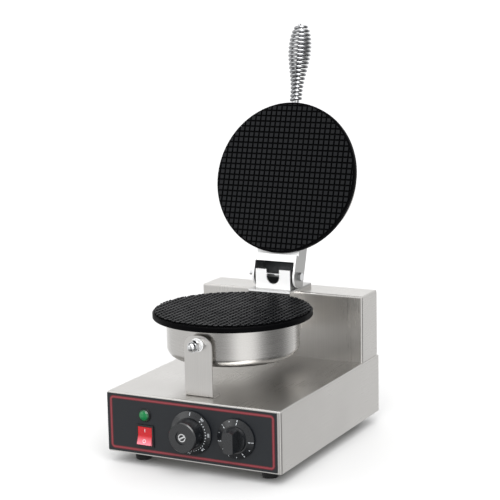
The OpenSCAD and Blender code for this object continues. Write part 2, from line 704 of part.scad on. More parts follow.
module lower_pan() color(steel) difference() {
    lower_side() pan_cup();
    rod_y(bolt_r + hole_gap, 10, plate_y - pan_r - 3, 0, stud_z);
    rod_y(bolt_r + hole_gap, 10, plate_y + pan_r - 7, 0, stud_z);
    rod_y(probe_hole_r, 10, plate_y + pan_r - 7, probe_x, probe_run_z);
}

module lower_heater() color([0.35, 0.33, 0.32]) lower_side() ring_heater();
module lower_clamp_plate() color(zinc) lower_side() difference() {
    clamp_disc();
    probe_hole(clamp_depth + clamp_t, clamp_t);
}
module lower_insulation() color([0.9, 0.88, 0.82]) lower_side() difference() {
    insulation_disc();
    probe_hole(insulation_depth + insulation_t, insulation_t);
}
module lower_centre_bolt() color(zinc) lower_side() centre_bolt();

// The handle's line under the upper plate's face: it starts at the rim and slopes towards the face.
module handle_line() translate([0, -plate_r, -plate_t]) rotate([90 - handle_slope, 0, 0]) children();

module upper_plate() color(plate_black) open_lid() difference() {
    translate([0, -hinge_back, -hinge_up]) rotate([0, 180, 0]) {
        plate_casting();
        handle_line() translate([0, 0, pan_r - plate_r + 1]) cylinder(h = plate_r - pan_r - 1.6, r = boss_r);
    }
    translate([0, -hinge_back, -hinge_up]) rotate([0, 180, 0]) handle_line()
        translate([0, 0, -14]) cylinder(h = 20, r = rod_r);
    lid_screw_places() translate([0, 0, -hinge_t - 4.5]) cylinder(h = 10, r = 2.5);
}

module upper_pan() color(steel) upper_side() pan_cup();
module upper_heater() color([0.35, 0.33, 0.32]) upper_side() ring_heater();
module upper_clamp_plate() color(zinc) upper_side() clamp_disc();
module upper_insulation() color([0.9, 0.88, 0.82]) upper_side() insulation_disc();
module upper_centre_bolt() color(zinc) upper_side() centre_bolt();

// ---- handle ----

rod_start = -13.5;                              // along the handle's line, from the plate's rim
ferrule_end = 8;
rod_end = coil_start - plate_r + coil_len - 9;

module handle_rod() color(bright_steel) upper_side() handle_line() {
    translate([0, 0, rod_start]) cylinder(h = rod_end - rod_start, r = rod_r);
    translate([0, 0, rod_end]) sphere(rod_r);
    translate([0, 0, 0.5]) cylinder(h = ferrule_end, r = coil_neck_r - wire_r - 0.1);
}

// Radius of the coil's middle line at a share u of its length: a slim neck that swells to a bulb and closes.
belly = 0.64;
function coil_radius(u) = u < belly
    ? coil_neck_r + (coil_belly_r - coil_neck_r) * (1 - cos(180 * max(0, u - 0.08) / (belly - 0.08))) / 2
    : wire_r + 0.6 + (coil_belly_r - wire_r - 0.6) * sqrt(max(0, 1 - pow((u - belly) / (1 - belly), 2)));
coil_sides = 8;
rings_per_turn = 12;
ring_count = coil_turns * rings_per_turn;
function coil_point(u) = [
    coil_radius(u) * cos(360 * coil_turns * u),
    coil_radius(u) * sin(360 * coil_turns * u),
    coil_start - plate_r + wire_r + u * (coil_len - 2 * wire_r)
];

module handle_coil() color(bright_steel) upper_side() handle_line()
    tube([for (i = [0:ring_count]) coil_point(i / ring_count)], wire_r, coil_sides, [0, 0, 1]);

// ---- controls ----

module pilot_lamp_lens() color([0.03, 0.6, 0.3]) translate([lamp_x, panel_y - 1.5, lamp_z]) rotate([90, 0, 0])
    intersection() {
        translate([0, 0, -5]) sphere(9.4);
        cylinder(h = 8, r = 7.2);
    }

module pilot_lamp_body() color(black_plastic) {
    translate([lamp_x, panel_y, lamp_z]) rotate([90, 0, 0]) cylinder(h = 1.5, r1 = 8.6, r2 = 8);
    rod_y(6, 26, panel_y, lamp_x, lamp_z);
    for (x = [-2.5, 2.5]) rod_y(0.8, 6, panel_y + 26, lamp_x + x, lamp_z);
}

module switch_housing() color(black_plastic) difference() {
    union() {
        translate([lamp_x, panel_y, switch_z]) rotate([90, 0, 0])
            linear_extrude(1.8) rounded_rect(switch_w, switch_h, 1.5);
        translate([lamp_x - 11, panel_y, switch_z - 13]) cube([22, 26, 26]);
        for (z = [-7, 0, 7])
            translate([lamp_x - 3.2, panel_y + 26, switch_z + z - 0.4]) cube([6.4, 8, 0.8]);
    }
    translate([lamp_x - rocker_w / 2 - 0.3, rocker_axis_y, switch_z]) rotate([90, 0, 90])
        linear_extrude(rocker_w + 0.6) {
            circle(rocker_r + 0.3);
            translate([-10, -rocker_r - 0.3]) square([10, 2 * rocker_r + 0.6]);
        }
    rod_x(rocker_pin_r + fit_gap, rocker_w + 3, lamp_x - rocker_w / 2 - 1.5, rocker_axis_y, switch_z);
}

// The rocker, pressed in at its top: a shallow V between round ends, on two pins.
module rocker() color([0.75, 0.05, 0.06]) translate([lamp_x, rocker_axis_y, switch_z]) {
    rotate([-rocker_tilt, 0, 0]) side_extrude(-rocker_w / 2, rocker_w) intersection() {
        circle(rocker_r);
        polygon([[-4.6, 12], [-2.4, 0], [-4.6, -12], [7, -12], [7, 12]]);
    }
    rod_x(rocker_pin_r, rocker_w + 2.4, -rocker_w / 2 - 1.2);
}

// A control behind the panel: a case on the sheet and a threaded bush for the shaft.
module control_body(x, w, h, d) difference() {
    union() {
        translate([x - w / 2, base_front_y + sheet_t, dial_z - h / 2]) cube([w, d, h]);
        rod_y(bush_r, 4, panel_y, x, dial_z);
    }
    rod_y(shaft_r + fit_gap, 14, panel_y - 1, x, dial_z);
    for (i = [-1, 1]) rod_y(2, 10, base_front_y - 1, x + i * control_screw_x, dial_z);
}

module thermostat_body() color([0.82, 0.8, 0.74]) {
    control_body(thermostat_x, 44, 36, 28);
    for (z = [-8, 8])
        translate([thermostat_x - 3.2, base_front_y + sheet_t + 28, dial_z + z]) cube([6.4, 8, 0.8]);
}

module timer_body() color([0.75, 0.75, 0.72]) {
    control_body(timer_x, 48, 48, 34);
    for (x = [-10, 10])
        translate([timer_x + x, base_front_y + sheet_t + 34, dial_z - 3.2]) cube([0.8, 8, 6.4]);
}

module control_screws() color(zinc)
    for (x = [thermostat_x, timer_x], i = [-1, 1])
        translate([x + i * control_screw_x, panel_y, dial_z]) rotate([-90, 0, 0]) screw(2, 3.6, 0.8, 8);

// The thermostat's bulb under the waffle plate, and the thin tube that joins it to the thermostat.
tube_r = 1;
probe_z = face_z - plate_t - bulb_r;            // the bulb lies against the plate's back
thermostat_back = base_front_y + sheet_t + 28;
tube_in_z = dial_z + 7;                         // where the tube enters the thermostat
probe_path = [
    [probe_x, plate_y + probe_up, probe_z], [probe_x, plate_y + probe_up, probe_run_z],
    [probe_x, plate_y + 100, probe_run_z], [0, plate_y + 112, tower_hole_z],
    [0, tower_mid_y, tower_hole_z], [0, tower_mid_y, tube_in_z],
    [thermostat_x + 12, thermostat_back + 30, tube_in_z], [thermostat_x + 12, thermostat_back, tube_in_z]
];
module thermostat_probe() color([0.72, 0.45, 0.3]) {
    tube(probe_path, tube_r, 8, [1, 0.4, 0.3]);
    rod_x(bulb_r, bulb_l, probe_x + 6 - bulb_l, plate_y + probe_up, probe_z);
}

// Both dials are drawn with the panel's face on z = 0 and their axis upwards.
module on_panel(x) translate([x, panel_y, dial_z]) rotate([90, 0, 0]) children();

module thermostat_knob() color(black_plastic) on_panel(thermostat_x) difference() {
    union() {
        translate([0, 0, 1]) cylinder(h = 1.6, r = thermostat_skirt_r);
        translate([0, 0, 2.6]) cylinder(h = 3.4, r1 = thermostat_skirt_r, r2 = 20);
        cylinder(h = 23.6, r = 18.6);
        translate([0, 0, 23.6]) cylinder(h = 1.4, r1 = 18.6, r2 = 17.4);
    }
    translate([0, 0, -1]) cylinder(h = 3.2, r = 22);
    translate([0, 0, 23.6]) cylinder(h = 3, r = 8.5);
    translate([0, 0, -1]) cylinder(h = 16, r = shaft_r);
}

module knob_insert() color(bright_steel) on_panel(thermostat_x) difference() {
    translate([0, 0, 23.6]) cylinder(h = 1, r = 5);
    translate([-6, -0.6, 24]) cube([12, 1.2, 2]);
}

module control_shaft() translate([0, 0, -12]) cylinder(h = 27, r = shaft_r);
module thermostat_shaft() color(zinc) on_panel(thermostat_x) control_shaft();
module timer_shaft() color(zinc) on_panel(timer_x) control_shaft();

module timer_knob() color(black_plastic) on_panel(timer_x) difference() {
    union() {
        translate([0, 0, 1]) cylinder(h = 1.6, r = timer_skirt_r);
        translate([0, 0, 2.6]) cylinder(h = 3, r1 = timer_skirt_r, r2 = 17);
        translate([0, 0, 5.6]) cylinder(h = 3, r1 = 15.6, r2 = 14.6);
        intersection() {
            translate([-6.5, -17, 2]) cube([13, 34, 20.5]);
            cylinder(h = 30, r1 = 15.6, r2 = 12.6);
        }
    }
    translate([0, 0, -1]) cylinder(h = 3.2, r = 20);
    translate([0, 0, -1]) cylinder(h = 16, r = shaft_r);
}

// ---- electrics in the base ----

module terminal_block() color([0.93, 0.92, 0.88]) translate([-50, base_rear_y - 70, base_bottom_z])
    difference() {
        cube([54, 20, 16]);
        for (i = [0:2]) translate([9 + 18 * i, 10, 6]) {
            cylinder(h = 12, r = 3.5);
            rotate([90, 0, 0]) translate([0, 0, -12]) cylinder(h = 24, r = 2.2);
        }
    }

module cable_gland() color(black_plastic) difference() {
    union() {
        rod_y(gland_r, 14, base_rear_y - 9, inlet_x, inlet_z);
        translate([inlet_x, base_rear_y, inlet_z]) rotate([-90, 0, 0]) {
            cylinder(h = 5, r = 12, $fn = 6);
            translate([0, 0, 5]) cylinder(h = 9, r1 = 10.2, r2 = 8.2);
        }
        translate([inlet_x, base_rear_y - sheet_t, inlet_z]) rotate([90, 0, 0]) cylinder(h = 5, r = 11.5, $fn = 6);
    }
    rod_y(cable_r, 40, base_rear_y - 20, inlet_x, inlet_z);
}

module earth_screw() color([0.75, 0.62, 0.3]) translate([-50, base_rear_y - 24, base_bottom_z])
    cylinder(h = 12, r = 2);

base_shell();
control_fascia();
bottom_cover();
cover_screws();
foot_front_left();
foot_front_right();
foot_rear_left();
foot_rear_right();
foot_screws();
foot_nuts();
tower_shell();
tower_screws();
tower_back_cover();
front_strap();
strap_screws();
front_stud();
stud_spacer();
stud_washer();
stud_nut();
stud_cap_nut();
lower_plate();
lower_pan();
lower_heater();
lower_clamp_plate();
lower_insulation();
lower_centre_bolt();
rear_stud();
rear_stud_nut();
hinge_bridge();
hinge_bracket();
bracket_screws();
hinge_bolt();
hinge_nut();
hinge_spacers();
pilot_lamp_lens();
pilot_lamp_body();
switch_housing();
thermostat_body();
thermostat_probe();
timer_body();
control_screws();
terminal_block();
cable_gland();
earth_screw();
upper_plate();
upper_pan();
upper_heater();
upper_clamp_plate();
upper_insulation();
upper_centre_bolt();
lid_bracket();
lid_bracket_screws();
handle_rod();
handle_coil();
thermostat_knob();
knob_insert();
thermostat_shaft();
timer_knob();
timer_shaft();
rocker();
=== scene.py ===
# %% [markdown]
# # Dressing a waffle cone maker
# The machine is a bent stainless box on rubber feet, with a raised box at its rear. A cast waffle plate sits on a
# steel pan in front of it, and a second plate hangs open on a hinge. The solids come from a CAD model and stay
# where they are. These cells give every surface its finish, and add what is too fine for the solids: printed
# marks, the coil's smooth wire, slot details, the floor, the light and the camera.

# %% Load the fixed solids
import json
import math

import bpy
from mathutils import Matrix, Vector


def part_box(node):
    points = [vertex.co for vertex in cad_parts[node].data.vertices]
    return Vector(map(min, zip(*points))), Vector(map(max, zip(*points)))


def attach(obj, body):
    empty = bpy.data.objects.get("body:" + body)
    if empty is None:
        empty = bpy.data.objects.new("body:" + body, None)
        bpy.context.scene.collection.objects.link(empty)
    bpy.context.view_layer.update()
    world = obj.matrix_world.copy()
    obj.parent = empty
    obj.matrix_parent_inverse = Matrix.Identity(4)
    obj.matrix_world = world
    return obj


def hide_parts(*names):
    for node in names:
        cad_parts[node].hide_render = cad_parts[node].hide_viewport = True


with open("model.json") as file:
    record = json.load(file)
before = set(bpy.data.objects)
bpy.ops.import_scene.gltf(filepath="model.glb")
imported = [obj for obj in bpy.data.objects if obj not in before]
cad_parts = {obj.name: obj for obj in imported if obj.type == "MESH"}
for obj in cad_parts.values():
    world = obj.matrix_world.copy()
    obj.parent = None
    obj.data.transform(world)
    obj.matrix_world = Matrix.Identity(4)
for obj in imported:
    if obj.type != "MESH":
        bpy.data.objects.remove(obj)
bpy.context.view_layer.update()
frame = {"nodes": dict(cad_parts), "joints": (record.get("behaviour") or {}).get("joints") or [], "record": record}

MM = 0.001
nodes = frame["nodes"]
joints = {joint["name"]: joint for joint in frame["joints"]}

# %% [markdown]
# ## The camera
# A product shot uses a long lens from a few steps away, so that upright edges stay nearly parallel. The
# camera is placed as on a tripod head: a turn round the machine, a height, a distance and a small roll. That
# is easier to reason about than a location and three rotations.

# %% Camera
TURN, RISE, ROLL = (math.radians(a) for a in (27.55, 10.43, -1.15))
DISTANCE = 1973.7 * MM
AIM_HEIGHT = 249.3 * MM
AIM_ASIDE = 5.75 * MM
AIM_DEPTH = -8.5 * MM
LENS = 113.0


def camera_matrix():
    back = Vector((math.sin(TURN) * math.cos(RISE), -math.cos(TURN) * math.cos(RISE), math.sin(RISE)))
    level = (-back).cross(Vector((0, 0, 1))).normalized()
    upright = level.cross(-back)
    right = level * math.cos(ROLL) + upright * math.sin(ROLL)
    up = upright * math.cos(ROLL) - level * math.sin(ROLL)
    place = Vector((0, AIM_DEPTH, AIM_HEIGHT)) + level * AIM_ASIDE + back * DISTANCE
    turned = Matrix((right, up, back)).transposed().to_4x4()
    return Matrix.Translation(place) @ turned


camera = bpy.data.objects.new("camera", bpy.data.cameras.new("camera"))
bpy.context.scene.collection.objects.link(camera)
camera.data.lens = LENS
camera.data.clip_end = 200
camera.matrix_world = camera_matrix()
bpy.context.scene.camera = camera
print("camera at", [round(v, 3) for v in camera.location])

# %% [markdown]
# ## Three small helpers for materials
# Colours are picked as sRGB hex values, as a designer would read them off a swatch, and the shader wants
# linear light, so one function converts. A second adds a node, sets it and joins it, and a third starts a
# material. With only these three, each finish below reads as the list of what the real surface is made of.

# %% Colour and node helpers
def linear(swatch):
    """An sRGB hex colour, such as "#8A8886", as linear RGBA."""
    parts = [int(swatch[i:i + 2], 16) / 255 for i in (1, 3, 5)]
    return [p / 12.92 if p <= 0.04045 else ((p + 0.055) / 1.055) ** 2.4 for p in parts] + [1.0]


def add(tree, kind, inputs=None, **settings):
    """Adds a node of that kind. Inputs are values or other nodes' outputs, by socket name or number."""
    node = tree.nodes.new("ShaderNode" + kind)
    for name, value in settings.items():
        setattr(node, name, value)
    for socket, value in (inputs or {}).items():
        if isinstance(value, bpy.types.NodeSocket):
            tree.links.new(value, node.inputs[socket])
        else:
            node.inputs[socket].default_value = value
    return node


def finish_named(name, swatch, **values):
    """A new material, its node tree and its shader. Values go on the shader's own sockets."""
    made = bpy.data.materials.new(name)
    made.use_nodes = True
    shader = made.node_tree.nodes["Principled BSDF"]
    shader.inputs["Base Color"].default_value = linear(swatch)
    for socket, value in values.items():
        shader.inputs[socket.replace("_", " ")].default_value = value
    return made, made.node_tree, shader


# %% [markdown]
# ## Where the two waffle faces lie
# The lower face is level, and the upper one stands open on the hinge. A frame under the upper face, with its z
# axis out of the face, places the coating's painted groove shade now and the handle later.

# %% Frames of the two faces
HINGE = Vector(joints["lid_hinge"]["pos_m"])
OPEN_ANGLE = math.radians(joints["lid_hinge"]["range_deg"][1])
HINGE_BACK, HINGE_UP = 128 * MM, 16.8 * MM


def lid_frame():
    opened = Matrix.Translation(HINGE) @ Matrix.Rotation(-OPEN_ANGLE, 4, "X")
    return opened @ Matrix.Translation((0, -HINGE_BACK, -HINGE_UP)) @ Matrix.Rotation(math.pi, 4, "Y")


FACES = {"lower_plate": (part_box("lower_plate")[1], Vector((0, 0, 1))),
         "upper_plate": (lid_frame().translation, lid_frame().to_3x3() @ Vector((0, 0, 1)))}
print("lid open by", round(math.degrees(OPEN_ANGLE), 1), "degrees")

# %% [markdown]
# ## Brushed stainless steel
# The boxes, the pans and the strap are 304 stainless, brushed with an abrasive belt. The belt leaves fine
# parallel scratches, so reflections smear across them and stay sharp along them. A noise that is squeezed
# across the grain and stretched along it draws the scratches. Real ones are about 0.05 mm wide, which a
# picture of the whole machine can't show, so they are drawn 0.5 mm wide here. A slow cloud of roughness
# stands for wiping marks. The metal keeps the shader's default IOR.

# %% Scratches
SCRATCH_MM = 0.5
SCRATCH_LENGTH_MM = 55.0


def grain_noise(tree, along):
    """Noise in scratches: each axis in along gets the scratch's length, and the others its width."""
    place = add(tree, "TexCoord")
    sizes = [SCRATCH_LENGTH_MM if axis in along else SCRATCH_MM for axis in "xyz"]
    scale = [1 / (size * MM) for size in sizes]
    stretched = add(tree, "Mapping", {"Vector": place.outputs["Object"], "Scale": scale})
    return add(tree, "TexNoise", {"Vector": stretched.outputs[0], "Scale": 1.0, "Detail": 2.0}).outputs[0]


# %% Brushed steel
SCRATCH_DEPTH, SCRATCH_RELIEF = 0.02 * MM, 0.22
SCRATCH_SHADE = 0.93        # the scratches' colour, as a share of the metal's
GRAIN_LOW, GRAIN_HIGH, WIPED = -0.02, 0.03, 0.03        # what scratches and wiping add to the roughness
WIPING_SCALE = 14.0
FACING = 0.7        # a normal's part along an axis, beyond which a face counts as facing that way
FROM_NOISE = {1: 0.3, 2: 0.7}        # what a map expects, because a noise mostly stays between these two


def brushed_steel(name, along, swatch="#CFCDCA", rough=0.3, sides_along=None):
    made, tree, shader = finish_named(name, swatch, Metallic=1.0)
    scratches = grain_noise(tree, along)
    if sides_along:
        normal = add(tree, "NewGeometry").outputs["Normal"]
        parts = add(tree, "SeparateXYZ", {0: normal})
        sideways = add(tree, "Math", {0: parts.outputs["X"]}, operation="ABSOLUTE")
        choice = add(tree, "Math", {0: sideways.outputs[0], 1: FACING}, operation="GREATER_THAN")
        mixed = add(tree, "Mix", {0: choice.outputs[0], 2: scratches, 3: grain_noise(tree, sides_along)})
        scratches = mixed.outputs[0]
    place = add(tree, "TexCoord")
    wiping = add(tree, "TexNoise", {"Vector": place.outputs["Object"], "Scale": WIPING_SCALE, "Detail": 3.0})
    fine = add(tree, "MapRange", {0: scratches, **FROM_NOISE, 3: rough + GRAIN_LOW, 4: rough + GRAIN_HIGH})
    cloud = add(tree, "MapRange", {0: wiping.outputs[0], **FROM_NOISE, 3: -WIPED, 4: WIPED})
    total = add(tree, "Math", {0: fine.outputs[0], 1: cloud.outputs[0]}, operation="ADD")
    tree.links.new(total.outputs[0], shader.inputs["Roughness"])
    share = add(tree, "MapRange", {0: scratches, **FROM_NOISE}).outputs[0]
    shaded = [c * SCRATCH_SHADE for c in linear(swatch)[:3]] + [1]
    colour = add(tree, "Mix", {0: share, 6: shaded, 7: linear(swatch)}, data_type="RGBA")
    tree.links.new(colour.outputs[2], shader.inputs["Base Color"])
    relief = add(tree, "Bump", {"Height": scratches, "Strength": SCRATCH_RELIEF, "Distance": SCRATCH_DEPTH})
    tree.links.new(relief.outputs["Normal"], shader.inputs["Normal"])
    return made


shell_steel = brushed_steel("brushed_stainless_shell", "yz", rough=0.3, sides_along="y")
pan_steel = brushed_steel("brushed_stainless_pan", "xy", rough=0.26)
strap_steel = brushed_steel("brushed_stainless_strap", "yz", swatch="#D6D4D1", rough=0.32)
print("brushed:", ", ".join(finish.name for finish in (shell_steel, pan_steel, strap_steel)))

# %% [markdown]
# ## Hinge steel with painted front light
# The hinge is bent from stainless strip. Its broad faces, which face front and back, are painted near white and
# kept mostly diffuse, as painted light for the front light that falls on them. Its sides and its level faces keep
# the mill's plain grey. The normal's X and Z tell which is which.

# %% Hinge steel
# The near white and the low metallic are painted light on the hinge's broad faces; the grey is its plain steel.
FRONT_LIGHT_WHITE, MILL_GREY = "#EFEFEF", "#BDBDBC"
FRONT_LIGHT_METALLIC, MILL_METALLIC = 0.12, 1.0


def hinge_finish():
    made, tree, shader = finish_named("stainless_with_painted_front_light", FRONT_LIGHT_WHITE, Roughness=0.36)
    normal = add(tree, "SeparateXYZ", {0: add(tree, "NewGeometry").outputs["Normal"]})
    sideways = add(tree, "Math", {0: normal.outputs["X"]}, operation="ABSOLUTE")
    turned = add(tree, "Math", {0: sideways.outputs[0], 1: normal.outputs["Z"]}, operation="MAXIMUM")
    side = add(tree, "Math", {0: turned.outputs[0], 1: FACING}, operation="GREATER_THAN").outputs[0]
    colour = add(tree, "Mix", {0: side, 6: linear(FRONT_LIGHT_WHITE), 7: linear(MILL_GREY)}, data_type="RGBA")
    tree.links.new(colour.outputs[2], shader.inputs["Base Color"])
    metallic = add(tree, "MapRange", {0: side, 3: FRONT_LIGHT_METALLIC, 4: MILL_METALLIC})
    tree.links.new(metallic.outputs[0], shader.inputs["Metallic"])
    return made


hinge_steel = hinge_finish()
print("hinge:", hinge_steel.name)

# %% [markdown]
# ## Chrome, zinc and the other small metals
# The nuts, the handle's wire and the dial's slotted cap are nickel-chrome plated: nearly a mirror, with a
# faint haze. Screws and brackets that nobody looks at are zinc plated, which is duller and a little mottled.
# Copper and brass keep their own colours, the heaters' sheaths are dark from heat, and the timer's case is pressed
# aluminium. The sheaths' dark steel is also put on the inner face of the lid bracket's back wall, as painted
# shade. Each gets a haze or mottle from noise, so that no part is one flat value.

# %% Chrome and plated steel
def plated(name, swatch, rough, mottle_mm):
    made, tree, shader = finish_named(name, swatch, Metallic=1.0)
    place = add(tree, "TexCoord").outputs["Object"]
    noise = add(tree, "TexNoise", {"Vector": place, "Scale": 1 / (mottle_mm * MM), "Detail": 2.0})
    haze = add(tree, "MapRange", {0: noise.outputs[0], **FROM_NOISE, 3: rough * 0.7, 4: rough * 1.3})
    tree.links.new(haze.outputs[0], shader.inputs["Roughness"])
    return made


chrome = plated("chrome_plate", "#DCDDDE", 0.09, 6)
# The wire's chrome is painted darker than the nuts', as painted shade for the dark reflections between the coil's
# turns.
shaded_wire_chrome = plated("chromed_wire_painted_darker", "#B6B7B9", 0.1, 6)
zinc = plated("zinc_plate", "#A9A8A2", 0.38, 2)
copper = plated("drawn_copper", "#B87351", 0.3, 4)
brass = plated("turned_brass", "#C9A45B", 0.28, 4)
# The heaters' sheaths are dark from heat; the same steel is painted shade on the back wall's inner face.
sheath_dark_and_painted_shade = plated("sheath_steel_and_painted_shade", "#4E4F51", 0.42, 3)
pressed_aluminium = plated("pressed_aluminium", "#B4B4B0", 0.42, 5)
print("with the small metals:", len(bpy.data.materials), "materials")

# %% [markdown]
# ## Non-stick coating on cast iron
# The waffle plates are cast, machined and sprayed with a black fluoropolymer. The spray leaves an orange-peel
# texture of about a millimetre and a soft sheen, not a gloss. The tops of the studs are rubbed smoother by use and
# keep the coating's own black and sheen. The grooves and the rim are painted near black with almost no sheen, as
# painted shade. A mask by the distance under the waffle face tells the two apart. The upper face is seen nearly
# square on and the lower one at a grazing angle, where any sheen is strong, so each plate has its own.

# %% Non-stick coating
# The darker black is painted shade for the grooves and the rim; the other is the coating's own black.
GROOVE_SHADE_BLACK, COATING_BLACK = "#040405", "#151618"
# Between these two depths the painted groove shade gives way to the stud tops' own black.
RUBBED_UNSHADED_FROM, RUBBED_UNSHADED_TO = 0.4 * MM, 0.1 * MM        # depths under the face where the rubbing starts and ends
GROOVE_SHEEN, RUBBED_SMOOTHER = 0.05, 0.75
SPRAYED_LOW, SPRAYED_HIGH = 0.38, 0.55        # the roughness of the coating as it was sprayed
WEAR, PEEL = 22 * MM, 0.9 * MM
PEEL_DEPTH, PEEL_RELIEF = 0.05 * MM, 0.5


def nonstick_coating(name, top_sheen, face_point, face_normal):
    made, tree, shader = finish_named(name, COATING_BLACK, IOR=1.4)
    place = add(tree, "TexCoord").outputs["Object"]
    height = add(tree, "VectorMath", {0: place, 1: tuple(face_normal)}, operation="DOT_PRODUCT")
    level = face_point.dot(face_normal)
    low, high = level - RUBBED_UNSHADED_FROM, level - RUBBED_UNSHADED_TO
    top = add(tree, "MapRange", {0: height.outputs["Value"], 1: low, 2: high}).outputs[0]
    # Painted shade: the grooves and the rim get the darker black and little sheen.
    colour = add(tree, "Mix", {0: top, 6: linear(GROOVE_SHADE_BLACK), 7: linear(COATING_BLACK)}, data_type="RGBA")
    tree.links.new(colour.outputs[2], shader.inputs["Base Color"])
    sheen = add(tree, "MapRange", {0: top, 3: GROOVE_SHEEN, 4: top_sheen})
    tree.links.new(sheen.outputs[0], shader.inputs["Specular IOR Level"])
    wear = add(tree, "TexNoise", {"Vector": place, "Scale": 1 / WEAR, "Detail": 4.0})
    rubbed = add(tree, "MapRange", {0: top, 3: 1.0, 4: RUBBED_SMOOTHER})
    sprayed = add(tree, "MapRange", {0: wear.outputs[0], **FROM_NOISE, 3: SPRAYED_LOW, 4: SPRAYED_HIGH})
    rough = add(tree, "Math", {0: sprayed.outputs[0], 1: rubbed.outputs[0]}, operation="MULTIPLY")
    tree.links.new(rough.outputs[0], shader.inputs["Roughness"])
    peel = add(tree, "TexNoise", {"Vector": place, "Scale": 1 / PEEL, "Detail": 3.0})
    relief = add(tree, "Bump", {"Height": peel.outputs[0], "Strength": PEEL_RELIEF, "Distance": PEEL_DEPTH})
    tree.links.new(relief.outputs["Normal"], shader.inputs["Normal"])
    return made


lower_coating = nonstick_coating("lower_plate_coating", 0.04, *FACES["lower_plate"])
upper_coating = nonstick_coating("upper_plate_coating", 0.2, *FACES["upper_plate"])
print("coatings:", lower_coating.name, "and", upper_coating.name)

# %% [markdown]
# ## Plastics, rubber and ceramics
# The dials are phenolic mouldings, black with a semi-gloss skin. The rocker is red acrylic and the lamp's
# dome is green polycarbonate, both smooth and glossy. The feet are natural rubber, dull with a powdery
# bloom. Inside the machine, the terminal block and the thermostat's body are glazed steatite, and the
# insulation is ceramic fibre board. All of them get a little texture from their moulds.

# %% Moulded materials
MOULDED_RELIEF = 0.5


def moulded(name, swatch, rough, texture_mm, texture_depth_mm, **values):
    made, tree, shader = finish_named(name, swatch, **values)
    place = add(tree, "TexCoord").outputs["Object"]
    skin = add(tree, "TexNoise", {"Vector": place, "Scale": 1 / (texture_mm * MM), "Detail": 3.0})
    sheen = add(tree, "MapRange", {0: skin.outputs[0], **FROM_NOISE, 3: rough * 0.85, 4: rough * 1.15})
    tree.links.new(sheen.outputs[0], shader.inputs["Roughness"])
    relief = add(tree, "Bump", {"Height": skin.outputs[0], "Strength": MOULDED_RELIEF,
                                "Distance": texture_depth_mm * MM})
    tree.links.new(relief.outputs["Normal"], shader.inputs["Normal"])
    return made


panel_print = moulded("screen_printed_panel", "#12161B", 0.42, 0.8, 0.01, IOR=1.5)
phenolic = moulded("moulded_phenolic", "#0B0E12", 0.3, 1.5, 0.006, IOR=1.6, Coat_Weight=0.35,
                   Coat_Roughness=0.14)
switch_nylon = moulded("moulded_nylon", "#141416", 0.45, 0.7, 0.02, IOR=1.53)
rocker_acrylic = moulded("red_acrylic", "#B80E16", 0.16, 3, 0.003, IOR=1.49)
lamp_polycarbonate = moulded("green_polycarbonate", "#0B9A4E", 0.12, 4, 0.002, IOR=1.58)
foot_rubber = moulded("natural_rubber", "#0D0D0E", 0.7, 0.8, 0.04, IOR=1.52)
steatite = moulded("glazed_steatite", "#D9D5CA", 0.4, 1.0, 0.02, IOR=1.6)
ceramic_fibre = moulded("ceramic_fibre_board", "#E4E0D4", 0.95, 0.6, 0.15, IOR=1.5)
print("with plastics, rubber and ceramics:", len(bpy.data.materials), "materials")

# %% [markdown]
# ## Painted light in the two clear plastics
# The lamp's dome is painted deepest green at its rim and lighter in its middle, as painted light for the depth of
# plastic that the eye looks through. The rocker is painted pale pink near its lower edge, fading to red by its
# middle, as a painted reflection of the bright floor. Refraction in such small pieces would need many more
# samples, so their colours are blended by place.

# %% Light in the lamp and the rocker
RIM_FROM_MM, RIM_TO_MM = 4.9, 7.0        # the lamp's rim, as distances from the lens's middle
# Where the painted floor reflection on the rocker starts to fade:
FLOOR_REFLECTION_FROM_MM = 1.5        # above the rocker's lower edge


def shaded_by(finish, value, low_mm, high_mm, low_swatch, high_swatch):
    """Blends a finish's colour from one swatch to another, as a value in metres goes from low to high."""
    tree, shader = finish.node_tree, finish.node_tree.nodes["Principled BSDF"]
    share = add(tree, "MapRange", {0: value, 1: low_mm * MM, 2: high_mm * MM}).outputs[0]
    colour = add(tree, "Mix", {0: share, 6: linear(low_swatch), 7: linear(high_swatch)}, data_type="RGBA")
    tree.links.new(colour.outputs[2], shader.inputs["Base Color"])


def light_in_the_plastic():
    tree = lamp_polycarbonate.node_tree
    low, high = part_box("pilot_lamp_lens")
    place = add(tree, "TexCoord").outputs["Object"]
    away = add(tree, "VectorMath", {0: place, 1: tuple((low + high) / 2)}, operation="DISTANCE")
    # Painted light: lighter green in the dome's middle, deepest at its rim.
    shaded_by(lamp_polycarbonate, away.outputs["Value"], RIM_FROM_MM, RIM_TO_MM, "#056A38", "#032A18")
    tree = rocker_acrylic.node_tree
    place = add(tree, "SeparateXYZ", {0: add(tree, "TexCoord").outputs["Object"]})
    low, high = (corner.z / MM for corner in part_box("rocker"))
    reflection_from, middle = low + FLOOR_REFLECTION_FROM_MM, (low + high) / 2
    # Painted reflection of the floor: pale pink at the rocker's lower edge, fading to red by its middle.
    shaded_by(rocker_acrylic, place.outputs["Z"], reflection_from, middle, "#E2808E", "#A80C16")


light_in_the_plastic()
print("blended by place:", lamp_polycarbonate.name, "and", rocker_acrylic.name)

# %% [markdown]
# The inks are thin and matt: white on the dials and the switch, and two reds for the border line.

# %% Inks
white_ink = moulded("white_ink", "#C8CCD0", 0.5, 0.5, 0.005, IOR=1.5)
red_ink = moulded("red_ink", "#560F15", 0.4, 0.5, 0.005, IOR=1.5)
pale_red_ink = moulded("pale_red_ink", "#7A2C34", 0.4, 0.5, 0.005, IOR=1.5)
print("inks:", ", ".join(ink.name for ink in (white_ink, red_ink, pale_red_ink)))

